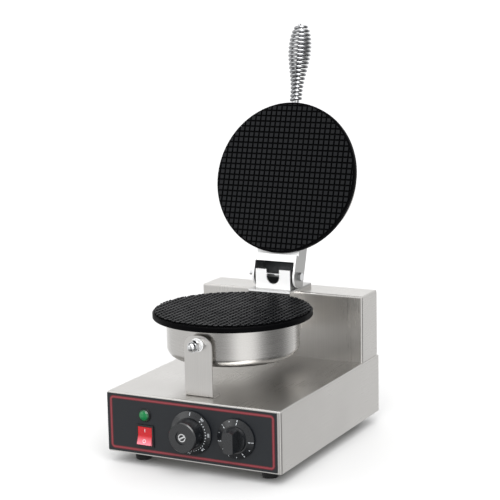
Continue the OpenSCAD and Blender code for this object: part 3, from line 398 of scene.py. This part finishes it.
# %% [markdown]
# ## Finishes onto the solids
# The CAD record names a material slot for each solid. One table says which finish each slot gets. A short second
# one is for solids that share a slot and look different: the pans were brushed in another direction than the
# boxes, the strap is brushed and has none of the hinge's painted front light, the hinge's bolt and nut are bright,
# and the upper plate has its own coating.

# %% Give every solid its finish
SLOT_FINISH = {
    "stainless": shell_steel, "bright_stainless": hinge_steel, "zinc_steel": zinc, "chrome": chrome,
    "black_panel": panel_print, "rubber": foot_rubber, "nonstick_iron": lower_coating,
    "heater_sheath": sheath_dark_and_painted_shade, "ceramic_fibre": ceramic_fibre, "green_lens": lamp_polycarbonate,
    "black_plastic": switch_nylon, "dial_plastic": phenolic, "ceramic": steatite,
    "timer_case": pressed_aluminium, "copper": copper, "brass": brass, "red_plastic": rocker_acrylic,
}
OWN_FINISH = {"lower_pan": pan_steel, "upper_pan": pan_steel, "front_strap": strap_steel,
              "hinge_bolt": chrome, "hinge_nut": chrome, "upper_plate": upper_coating}


def dress(solid, finish):
    if not solid.material_slots:
        solid.data.materials.append(finish)
    for place in solid.material_slots:
        place.material = finish


for part in frame["record"]["subparts"]:
    name = part["node"]
    dress(nodes[name], OWN_FINISH.get(name, SLOT_FINISH[part["material_slot"]]))
print("finishes on", len(nodes), "solids")

# %% [markdown]
# ## Making a mesh
# Small printed and turned pieces are plain lists of points and faces. One helper turns such lists into an
# object with a material, riding on the CAD body that it belongs to. Printed marks are thin plates and not
# pictures, so they stay sharp at any distance and come out with the exported model.

# %% Mesh helper
def make_piece(name, points, faces, finishes, body, smooth=False, face_finish=None):
    mesh = bpy.data.meshes.new(name)
    mesh.from_pydata([tuple(p) for p in points], [], faces)
    for finish in finishes:
        mesh.materials.append(finish)
    for face in mesh.polygons:
        face.use_smooth = smooth
        if face_finish:
            face.material_index = face_finish[face.index]
    mesh.validate()
    piece = bpy.data.objects.new(name, mesh)
    bpy.context.scene.collection.objects.link(piece)
    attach(piece, body)
    return piece


def plate_solid(outline, low, high):
    """Points and faces of a flat plate: an outline of (x, y) pairs, from one height to another."""
    count = len(outline)
    points = [(x, y, z) for z in (low, high) for x, y in outline]
    sides = [(i, (i + 1) % count, count + (i + 1) % count, count + i) for i in range(count)]
    return points, [tuple(reversed(range(count))), tuple(range(count, 2 * count))] + sides


def joined(parts):
    """Several (points, faces) lists as one."""
    points, faces = [], []
    for some_points, some_faces in parts:
        faces += [tuple(i + len(points) for i in face) for face in some_faces]
        points += some_points
    return points, faces


def placed(part, matrix):
    return [matrix @ Vector(p) for p in part[0]], part[1]


# %% [markdown]
# ## The red border line on the panel
# The panel is a printed plate with one line round it, about 3.7 mm wide: a pale red band between two darker
# edges, with round corners. Screen printing lays ink a few hundredths of a millimetre thick, so the line is
# three closed strips of faces, just proud of the panel. Offsetting one rounded rectangle by a few distances
# gives all the edges of the strips, and their corners share one centre.

# %% Border line
PANEL_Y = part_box("control_fascia")[0].y        # the panel's front face
INK = 0.08 * MM
BORDER_LEFT, BORDER_RIGHT = -114.5 * MM, 111.5 * MM
BORDER_LOW, BORDER_HIGH = 19.9 * MM, 87.0 * MM
BORDER_RADIUS = 5.5 * MM
BORDER_STEPS = [0, 0.9 * MM, 2.8 * MM, 3.7 * MM]
ARC_STEPS = 10


def rounded_loop(inset):
    """A rounded rectangle on the panel, inset from the border's outer edge, as (x, z) pairs."""
    radius = BORDER_RADIUS - inset
    loop = []
    corners = [(BORDER_RIGHT, BORDER_HIGH, 0), (BORDER_LEFT, BORDER_HIGH, 90),
               (BORDER_LEFT, BORDER_LOW, 180), (BORDER_RIGHT, BORDER_LOW, 270)]
    for x, z, start in corners:
        centre_x = x - math.copysign(BORDER_RADIUS, x)
        centre_z = z - math.copysign(BORDER_RADIUS, z - (BORDER_LOW + BORDER_HIGH) / 2)
        for step in range(ARC_STEPS + 1):
            angle = math.radians(start + 90 * step / ARC_STEPS)
            loop.append((centre_x + radius * math.cos(angle), centre_z + radius * math.sin(angle)))
    return loop


def border_line():
    loops = [rounded_loop(inset) for inset in BORDER_STEPS]
    heights = [0, INK, INK, 0]
    points = [(x, PANEL_Y - height, z) for loop, height in zip(loops, heights) for x, z in loop]
    count = len(loops[0])
    faces, finish_of = [], []
    for band, finish in enumerate((0, 1, 0)):
        for i in range(count):
            j = (i + 1) % count
            faces.append((band * count + i, band * count + j, (band + 1) * count + j, (band + 1) * count + i))
            finish_of.append(finish)
    for i in range(count):
        j = (i + 1) % count
        faces.append((i, 3 * count + i, 3 * count + j, j))
        finish_of.append(0)
    return make_piece("panel_border", points, faces, [red_ink, pale_red_ink], "base", face_finish=finish_of)


border_line()
print("border line:", round((BORDER_RIGHT - BORDER_LEFT) / MM), "mm wide")

# %% [markdown]
# ## The dials' printed marks
# Both dials have a sloping skirt with marks pressed into it and filled with white paint. Each mark is placed
# by its angle and its distance from the dial's axis, lying on the skirt's slope. The numbers are plain ones:
# degrees on the left dial and minutes on the right one. They turn with the dial.

# %% A dial's sloping skirt
OUT_OF_PANEL = Matrix(((1, 0, 0, 0), (0, 0, -1, 0), (0, 1, 0, 0), (0, 0, 0, 1)))


def dial_frame(node):
    """A frame on a dial: x to the right, y up the panel, z out of it, and its origin on the dial's axis."""
    low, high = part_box(node)
    return Matrix.Translation(((low.x + high.x) / 2, PANEL_Y, (low.z + high.z) / 2)) @ OUT_OF_PANEL


class Skirt:
    """The sloping ring of a dial, from its outer edge to its inner one, heights counted from the panel."""

    def __init__(self, node, outer_r, outer_h, inner_r, inner_h):
        self.frame = dial_frame(node)
        self.outer_r, self.outer_h = outer_r * MM, outer_h * MM
        self.fall = (inner_h - outer_h) / (outer_r - inner_r)

    def spot(self, clockwise, radius_mm):
        """Where a mark lies: x across it, y outwards along the slope and z off the surface."""
        radius = radius_mm * MM
        turn = Matrix.Rotation(-math.radians(clockwise), 4, "Z")
        height = self.outer_h + (self.outer_r - radius) * self.fall
        tilt = Matrix.Rotation(-math.atan(self.fall), 4, "X")
        return self.frame @ turn @ Matrix.Translation((0, radius, height)) @ tilt


# %% Bars, dots and numbers
MARK_HEIGHT = 0.12 * MM
FONT_SIZE_TO_HEIGHT = 1.42


def bar(width_mm, length_mm):
    """A straight mark, centred."""
    x, y = width_mm * MM / 2, length_mm * MM / 2
    return plate_solid([(-x, -y), (x, -y), (x, y), (-x, y)], -MARK_HEIGHT, MARK_HEIGHT)


def dot(radius_mm):
    sides = 10
    turns = [2 * math.pi * i / sides for i in range(sides)]
    ring = [(radius_mm * MM * math.cos(a), radius_mm * MM * math.sin(a)) for a in turns]
    return plate_solid(ring, -MARK_HEIGHT, MARK_HEIGHT)


def number(text, height_mm):
    """A printed number, centred, as (points, faces)."""
    curve = bpy.data.curves.new("number", "FONT")
    curve.body = text
    curve.size = height_mm * MM * FONT_SIZE_TO_HEIGHT
    curve.align_x, curve.align_y = "CENTER", "CENTER"
    curve.extrude = MARK_HEIGHT
    curve.resolution_u = 3
    holder = bpy.data.objects.new("number", curve)
    bpy.context.scene.collection.objects.link(holder)
    bpy.context.view_layer.update()
    mesh = bpy.data.meshes.new_from_object(holder)
    part = [v.co.copy() for v in mesh.vertices], [tuple(face.vertices) for face in mesh.polygons]
    bpy.data.objects.remove(holder)
    bpy.data.meshes.remove(mesh)
    return part


# %% Thermostat marks
THERMOSTAT_FIRST, THERMOSTAT_STEP = 41.0, 9.65
THERMOSTAT_DOTS = 26
DOTS_A_NUMBER = 5
HOTTEST, DEGREES_A_NUMBER = 300, 50
POINTER_AT, DOTS_AT, DEGREES_AT = 23.9, 21.5, 24.5        # distances from the dial's axis in mm

thermostat = Skirt("thermostat_knob", outer_r=27.2, outer_h=2.6, inner_r=20.0, inner_h=6.0)
parts = [placed(bar(0.6, 4.2), thermostat.spot(0, POINTER_AT))]
for k in range(THERMOSTAT_DOTS):
    angle = THERMOSTAT_FIRST + k * THERMOSTAT_STEP
    whole = k % DOTS_A_NUMBER == 0
    parts.append(placed(dot(0.62 if whole else 0.52), thermostat.spot(angle, DOTS_AT)))
    if whole:
        degrees = HOTTEST - DEGREES_A_NUMBER * k // DOTS_A_NUMBER
        parts.append(placed(number(str(degrees), 2.3), thermostat.spot(angle, DEGREES_AT)))
make_piece("thermostat_marks", *joined(parts), [white_ink], "thermostat_dial")
print("thermostat:", THERMOSTAT_DOTS, "dots")

# %% [markdown]
# The slotted cap in the dial's middle has two pressed hollows, one on each side of the slot. In shade they
# read as two black half moons, so they are two thin black plates.

# %% Half moons on the cap
HOLLOW_R, HALF_SLOT, SLOT_TURN = 3.7 * MM, 0.95 * MM, math.radians(28)
HOLLOW_STEPS = 12


def half_moon(side):
    start = math.asin(HALF_SLOT / HOLLOW_R)
    turns = [start + (math.pi - 2 * start) * i / HOLLOW_STEPS for i in range(HOLLOW_STEPS + 1)]
    outline = [(HOLLOW_R * math.cos(a), HOLLOW_R * math.sin(a)) for a in turns]
    cap_top = PANEL_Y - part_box("knob_insert")[0].y
    turn = Matrix.Rotation(SLOT_TURN + (0 if side > 0 else math.pi), 4, "Z")
    return placed(plate_solid(outline, -MARK_HEIGHT, MARK_HEIGHT),
                  thermostat.frame @ Matrix.Translation((0, 0, cap_top)) @ turn)


# Painted shade: two black plates stand where the hollows lie in shade.
make_piece("cap_hollow_shade_plates", *joined([half_moon(1), half_moon(-1)]), [switch_nylon], "thermostat_dial")
print("hollows, radius in mm:", round(HOLLOW_R / MM, 1))

# %% [markdown]
# The timer's marks go anticlockwise from the top, so turning it clockwise brings up more minutes. Each whole
# minute has a tick and a number, and each half has a shorter tick further out.

# %% Timer marks
TIMER_FIRST, TIMER_STEP = 7.5, 27.3
TIMER_HALVES = 11
MINUTE_TICKS_AT, MINUTES_AT, HALF_TICKS_AT = 19.4, 22.7, 22.0        # distances from the dial's axis in mm

timer = Skirt("timer_knob", outer_r=24.5, outer_h=2.6, inner_r=17.0, inner_h=5.6)
parts = []
for k in range(TIMER_HALVES):
    angle = TIMER_FIRST - k * TIMER_STEP
    if k % 2 == 0:
        parts.append(placed(bar(0.75, 2.6), timer.spot(angle, MINUTE_TICKS_AT)))
        parts.append(placed(number(str(k // 2), 2.4), timer.spot(angle, MINUTES_AT)))
    else:
        parts.append(placed(bar(0.65, 1.4), timer.spot(angle, HALF_TICKS_AT)))
make_piece("timer_marks", *joined(parts), [white_ink], "timer_dial")
print("timer:", TIMER_HALVES, "ticks")

# %% [markdown]
# ## The switch's two marks
# The rocker carries a bar and a ring, the usual signs for on and off. They are hot-stamped in white foil on
# its two sloping halves, so they tilt with it. Each half's slope follows from the rocker's shallow V.

# %% Rocker marks
ROCKER_TILT = math.radians(joints["rocker_tilt"]["range_deg"][1] / 2)
V_FALL, V_HALF_LENGTH = 2.2 * MM, 12 * MM
V_ANGLE = math.atan(V_FALL / V_HALF_LENGTH)
V_DEPTH = 2.4 * MM        # from the pivot out to the bottom of the V
SIGN_AT = 6.6 * MM        # from the bottom of the V along each half


def rocker_half(side):
    """A frame on one half of the rocker: side 1 is the upper half, -1 the lower one."""
    pivot = Vector(joints["rocker_tilt"]["pos_m"])
    tipped = Matrix.Rotation(-ROCKER_TILT, 4, "X")
    half = Matrix.Translation((0, 0, V_DEPTH)) @ Matrix.Rotation(side * V_ANGLE, 4, "X")
    face = Matrix.Translation(pivot) @ OUT_OF_PANEL @ tipped @ half
    return face @ Matrix.Translation((0, side * SIGN_AT, 0))


def ring_mark(outer_mm, inner_mm):
    sides = 20
    turns = [2 * math.pi * i / sides for i in range(sides)]
    loops = [(outer_mm, -1), (outer_mm, 1), (inner_mm, 1), (inner_mm, -1)]
    points = [(r * MM * math.cos(a), r * MM * math.sin(a), h * MARK_HEIGHT) for r, h in loops for a in turns]
    faces = [(loop * sides + i, loop * sides + (i + 1) % sides,
              (loop + 1) % 4 * sides + (i + 1) % sides, (loop + 1) % 4 * sides + i)
             for loop in range(4) for i in range(sides)]
    return points, faces


make_piece("rocker_marks", *joined([
    placed(bar(0.6, 4.4), rocker_half(1)),
    placed(ring_mark(2.2, 1.6), rocker_half(-1)),
]), [white_ink], "switch_rocker")
print("each half of the rocker slopes by", round(math.degrees(V_ANGLE), 1), "degrees")

# %% [markdown]
# ## The coil handle
# The grip is one chromed wire wound into a spring: slim at the neck, swelling to a bulb and closing at the
# tip, so it stays cool in the hand. The solid model has a coarse one. Here the same line is drawn with many
# more rings and a slightly thicker wire, swept as a tube with a frame that never twists, and it takes the
# coarse coil's place.

# %% The coil's place and line
PLATE_R, HANDLE_DEPTH = 100 * MM, 9 * MM
HANDLE_SLOPE = math.radians(5)
WIRE_R, NECK_R, BELLY_R, BELLY_AT = 1.95 * MM, 6.3 * MM, 13.5 * MM, 0.68
SWELL_FROM = 0.08        # the share of the length where the neck starts to swell
TIP_HOLE_R = 0.6 * MM


def handle_frame():
    rim = lid_frame() @ Matrix.Translation((0, -PLATE_R, -HANDLE_DEPTH))
    return rim @ Matrix.Rotation(math.pi / 2 - HANDLE_SLOPE, 4, "X")


def coil_radius(u):
    """The radius of the wire's middle line at a share of the coil's length."""
    if u < BELLY_AT:
        swell = (1 - math.cos(math.pi * max(0, u - SWELL_FROM) / (BELLY_AT - SWELL_FROM))) / 2
        return NECK_R + (BELLY_R - NECK_R) * swell
    tip_r = WIRE_R + TIP_HOLE_R
    return tip_r + (BELLY_R - tip_r) * math.sqrt(max(0, 1 - ((u - BELLY_AT) / (1 - BELLY_AT)) ** 2))


# %% Coil handle
COIL_START, COIL_LENGTH, COIL_TURNS = 2 * MM, 104 * MM, 19
RINGS_A_TURN, WIRE_SIDES = 44, 14


def wire_coil():
    rings = COIL_TURNS * RINGS_A_TURN
    line = []
    for k in range(rings + 1):
        u = k / rings
        turn = 2 * math.pi * COIL_TURNS * u
        along = COIL_START + WIRE_R + u * (COIL_LENGTH - 2 * WIRE_R)
        line.append(Vector((coil_radius(u) * math.cos(turn), coil_radius(u) * math.sin(turn), along)))
    to_world = handle_frame()
    points, faces = [], []
    for k, centre in enumerate(line):
        ahead = (line[min(k + 1, rings)] - line[max(k - 1, 0)]).normalized()
        across = ahead.cross(Vector((0, 0, 1))).normalized()
        other = across.cross(ahead)
        for i in range(WIRE_SIDES):
            a = 2 * math.pi * i / WIRE_SIDES
            points.append(to_world @ (centre + WIRE_R * (math.cos(a) * across + math.sin(a) * other)))
    for k in range(rings):
        for i in range(WIRE_SIDES):
            j = (i + 1) % WIRE_SIDES
            this, after = k * WIRE_SIDES, (k + 1) * WIRE_SIDES
            faces.append((this + i, after + i, after + j, this + j))
    faces.append(tuple(range(WIRE_SIDES)))
    faces.append(tuple(rings * WIRE_SIDES + i for i in reversed(range(WIRE_SIDES))))
    coil = make_piece("coil_grip", points, faces, [shaded_wire_chrome], "lid", smooth=True)
    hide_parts("handle_coil")
    return coil


coil_grip = wire_coil()
print("coil:", len(coil_grip.data.polygons), "faces")

# %% [markdown]
# ## The back wall of the lid's bracket
# Between the two arms a thin wall closes the bracket's back, and it is what shows dark through the window over the
# hinge. It is drawn round the hinge axis with the lid closed: wide between the arms, and narrow at its end, where
# it passes between the fixed ears. Its inner face gets the heaters' dark steel, as painted shade for the shadow
# inside the bracket.

# %% Back wall
WALL_IN, WALL_OUT = 12.4 * MM, 14.2 * MM        # the two faces, as distances from the hinge axis
WIDE, NARROW = 27.95 * MM, 22.0 * MM        # half the width
WALL_START, WALL_STEP, WALL_END = -44 * MM, 5.2 * MM, 10.4 * MM


def back_wall():
    outline = [(-WIDE, WALL_START), (WIDE, WALL_START), (WIDE, WALL_STEP), (NARROW, WALL_STEP),
               (NARROW, WALL_END), (-NARROW, WALL_END), (-NARROW, WALL_STEP), (-WIDE, WALL_STEP)]
    opened = Matrix.Translation(HINGE) @ Matrix.Rotation(-OPEN_ANGLE, 4, "X")
    points, faces = placed(plate_solid(outline, WALL_IN, WALL_OUT), opened)
    # Painted shade: the inner face gets the heaters' dark steel, the other faces the hinge steel.
    inner_first = [0] + [1] * (len(faces) - 1)
    return make_piece("bracket_back_wall", points, faces, [sheath_dark_and_painted_shade, hinge_steel], "lid",
                      face_finish=inner_first)


back_wall()
print("back wall:", round((WALL_OUT - WALL_IN) / MM, 1), "mm thick")

# %% [markdown]
# ## Floor and background
# The machine stands on a white sweep. The camera sees pure white behind it, and the floor is lit until it is
# white too, with only the contact shadow left. The metal mirrors the studio and not the floor, which is kept
# out of every mirrored ray.

# %% Floor
FLOOR_HALF = 25.0        # metres, so that its edge is out of sight
floor_finish = moulded("white_sweep", "#D4D4D4", 0.6, 400, 0.0, IOR=1.45)
floor_mesh = bpy.data.meshes.new("floor")
floor_mesh.from_pydata([(-FLOOR_HALF, -FLOOR_HALF, 0), (FLOOR_HALF, -FLOOR_HALF, 0),
                        (FLOOR_HALF, FLOOR_HALF, 0), (-FLOOR_HALF, FLOOR_HALF, 0)], [], [(0, 1, 2, 3)])
floor_mesh.materials.append(floor_finish)
floor = bpy.data.objects.new("floor", floor_mesh)
bpy.context.scene.collection.objects.link(floor)
floor.visible_glossy = False
print("floor:", 2 * FLOOR_HALF, "m wide")

# %% [markdown]
# ## A studio for the metal to mirror
# Brushed steel is only as good as what it mirrors, so polished surfaces are given a studio of their own: the
# world's shader asks which kind of ray has arrived, and hands the mirrored ones a ring of soft boxes and
# dark flags, by direction. All other rays find an even, white room.

# %% Studio ring
# Soft boxes and flags round the machine: the bearing in degrees (0 in front, 90 at the right) and its light.
STUDIO_RING = [(-180, 1.2), (-140, 1.14), (-110, 0.8), (-60, 0.78), (-25, 0.9), (0, 0.35), (18, 0.55),
               (38, 1.3), (62, 1.2), (80, 0.4), (96, 0.2), (122, 0.24), (142, 0.6), (158, 0.92), (180, 1.2)]
RING_SCALE = 1.3
# The same by height: the sine of the angle over the horizon, and a factor on the light.
HEIGHT_LIGHT = [(-0.62, 0.25), (-0.38, 1.0), (0.46, 1.0), (0.56, 0.4), (0.74, 0.4), (0.86, 2.2)]


def set_stops(ramp, levels):
    """Gives a colour ramp these grey levels, as (position, level) pairs in order."""
    stops = ramp.color_ramp.elements
    while len(stops) < len(levels):
        stops.new(0.5)
    for stop, (position, level) in zip(stops, levels):
        stop.position, stop.color = position, [level] * 3 + [1]


def studio_ring(tree, parts):
    """The light by bearing. It is dark low down and at 30 to 50 degrees up, with a soft ceiling above."""
    front = add(tree, "Math", {0: parts.outputs["Y"], 1: -1.0}, operation="MULTIPLY")
    bearing = add(tree, "Math", {0: parts.outputs["X"], 1: front.outputs[0]}, operation="ARCTAN2")
    share = add(tree, "MapRange", {"Value": bearing.outputs[0], "From Min": -math.pi, "From Max": math.pi})
    ramp = add(tree, "ValToRGB", {"Fac": share.outputs[0]})
    set_stops(ramp, [((bearing_deg + 180) / 360, light / RING_SCALE) for bearing_deg, light in STUDIO_RING])
    height = add(tree, "MapRange", {0: parts.outputs["Z"], 1: -1.0, 2: 1.0})
    by_height = add(tree, "ValToRGB", {"Fac": height.outputs[0]})
    set_stops(by_height, [((z + 1) / 2, light) for z, light in HEIGHT_LIGHT])
    product = add(tree, "Math", {0: ramp.outputs[0], 1: by_height.outputs[0]}, operation="MULTIPLY")
    return add(tree, "Math", {0: product.outputs[0], 1: RING_SCALE}, operation="MULTIPLY").outputs[0]


# %% Room light
ROOM_FILL = 1.15


def room_light():
    world = bpy.data.worlds.new("studio")
    bpy.context.scene.world = world
    world.use_nodes = True
    tree = world.node_tree
    parts = add(tree, "SeparateXYZ", {0: add(tree, "TexCoord").outputs["Generated"]})
    ray = add(tree, "LightPath")
    mirrored = add(tree, "Mix", {0: ray.outputs["Is Glossy Ray"], 2: ROOM_FILL, 3: studio_ring(tree, parts)})
    seen = add(tree, "Mix", {0: ray.outputs["Is Camera Ray"], 2: mirrored.outputs[0], 3: 1.0})
    background = tree.nodes["Background"]
    tree.links.new(seen.outputs[0], background.inputs["Strength"])
    background.inputs["Color"].default_value = linear("#FFFFFF")


room_light()
print("room:", bpy.context.scene.world.name, "with", len(STUDIO_RING), "stops round the machine")

# %% [markdown]
# ## The overhead light and the soft box
# The overhead light is a sun, which is equally strong everywhere. Its disc is wide, so that the shadows are
# soft. One weak soft box at the front left lifts the panel and the left side of the pan.

# %% Overhead light and soft box
SUN_STRENGTH = 2.4
SUN_DISC = math.radians(50)
SUN_TIP, SUN_LEAN = math.radians(33), math.radians(28)        # so it comes from the front right


def area_light(name, place, target, width, height, power):
    light = bpy.data.lights.new(name, "AREA")
    light.shape, light.size, light.size_y, light.energy = "RECTANGLE", width, height, power
    holder = bpy.data.objects.new(name, light)
    bpy.context.scene.collection.objects.link(holder)
    holder.location = place
    holder.rotation_mode = "QUATERNION"
    holder.rotation_quaternion = (Vector(target) - Vector(place)).to_track_quat("-Z", "Y")
    return holder


sun = bpy.data.objects.new("overhead_light", bpy.data.lights.new("overhead_light", "SUN"))
sun.data.energy = SUN_STRENGTH
sun.data.angle = SUN_DISC
sun.rotation_euler = (SUN_TIP, SUN_LEAN, 0)
bpy.context.scene.collection.objects.link(sun)
area_light("left_softbox", place=(-1.1, -1.0, 0.9), target=(0, 0, 0.2), width=0.9, height=1.2, power=2.6)
bpy.context.scene.view_settings.view_transform = "Standard"
print("lights:", ", ".join(light.name for light in bpy.data.lights))
